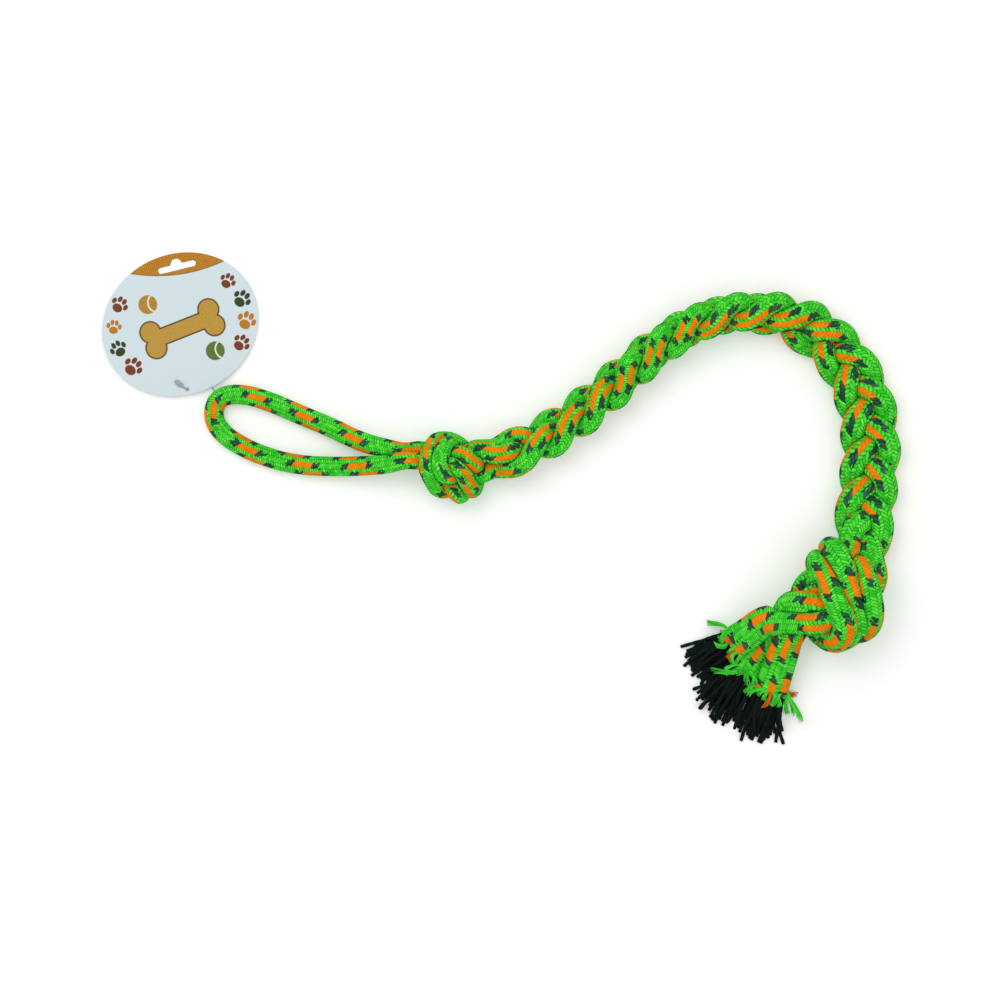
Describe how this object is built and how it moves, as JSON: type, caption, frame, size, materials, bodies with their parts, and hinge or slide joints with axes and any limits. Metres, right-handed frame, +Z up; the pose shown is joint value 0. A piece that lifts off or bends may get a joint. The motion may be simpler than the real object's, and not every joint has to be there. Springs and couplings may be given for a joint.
{
  "type": "rope dog toy",
  "caption": "Rope dog toy of braided ropes plaited together and knotted at both ends, with a hand loop, frayed cut tails and an oval card tag on a nylon pin.",
  "frame": {"origin": "on the floor, under the middle of the whole toy's outline", "axes": "+Z up from the floor, -X towards the card tag and the hand loop, +X towards the end knot, +Y away from the reader of the picture"},
  "size_m": [0.6376, 0.3818, 0.0646],
  "materials": {
    "rope_sheath": "braided green yarn with orange and near-black marks",
    "core_yarn": "matt near-black yarn",
    "card": "printed card, matt",
    "nylon": "clear to milky nylon"
  },
  "bodies": {
    "plait": {"plait_strand_1": "rope_sheath", "plait_strand_2": "rope_sheath", "plait_strand_3": "rope_sheath"},
    "handle_knot": {"handle_knot_rope_1": "rope_sheath", "handle_knot_rope_2": "rope_sheath", "handle_knot_rope_3": "rope_sheath"},
    "hand_loop": {"hand_loop": "rope_sheath"},
    "tag_pin": {"tag_pin": "nylon"},
    "hang_tag": {"hang_tag": "card"},
    "end_knot": {"end_knot_rope_1": "rope_sheath", "end_knot_rope_2": "rope_sheath", "end_knot_rope_3": "rope_sheath"},
    "tail_1": {"tail_sheath_1": "rope_sheath", "tail_core_1": "core_yarn"},
    "tail_2": {"tail_sheath_2": "rope_sheath", "tail_core_2": "core_yarn"},
    "tail_3": {"tail_sheath_3": "rope_sheath", "tail_core_3": "core_yarn"}
  },
  "joints": [
    {"name": "handle_knot_flex", "type": "hinge", "parent": "plait", "child": "handle_knot", "pos_m": [-0.00174, 0.02504, 0.0392], "axis": [-0.2079, 0.9781, 0], "range_deg": [0, 45]},
    {"name": "hand_loop_flex", "type": "hinge", "parent": "handle_knot", "child": "hand_loop", "pos_m": [-0.07214, 0.02344, 0.0366], "axis": [0.0349, 0.9994, 0], "range_deg": [0, 75]},
    {"name": "tag_pin_lift", "type": "hinge", "parent": "hand_loop", "child": "tag_pin", "pos_m": [-0.22704, 0.07764, 0.0058], "axis": [0.7771, 0.6293, 0], "range_deg": [0, 45]},
    {"name": "hang_tag_swing", "type": "hinge", "parent": "tag_pin", "child": "hang_tag", "pos_m": [-0.25034, 0.08044, 0.0045], "axis": [0, 0, 1], "range_deg": [0, 60]},
    {"name": "end_knot_flex", "type": "hinge", "parent": "plait", "child": "end_knot", "pos_m": [0.28706, -0.05256, 0.0484], "axis": [-0.8829, 0.4695, 0], "range_deg": [0, 45]},
    {"name": "tail_1_flex", "type": "hinge", "parent": "end_knot", "child": "tail_1", "pos_m": [0.23186, -0.09896, 0.0514], "axis": [-0.6428, 0.766, 0], "range_deg": [0, 45]},
    {"name": "tail_2_flex", "type": "hinge", "parent": "end_knot", "child": "tail_2", "pos_m": [0.23186, -0.09896, 0.0514], "axis": [-0.6428, 0.766, 0], "range_deg": [0, 45]},
    {"name": "tail_3_flex", "type": "hinge", "parent": "end_knot", "child": "tail_3", "pos_m": [0.23186, -0.09896, 0.0514], "axis": [-0.6428, 0.766, 0], "range_deg": [0, 45]}
  ],
  "couplings": [
    {"joint": "tail_2_flex", "follows": "tail_1_flex", "ratio": 1},
    {"joint": "tail_3_flex", "follows": "tail_1_flex", "ratio": 1}
  ]
}
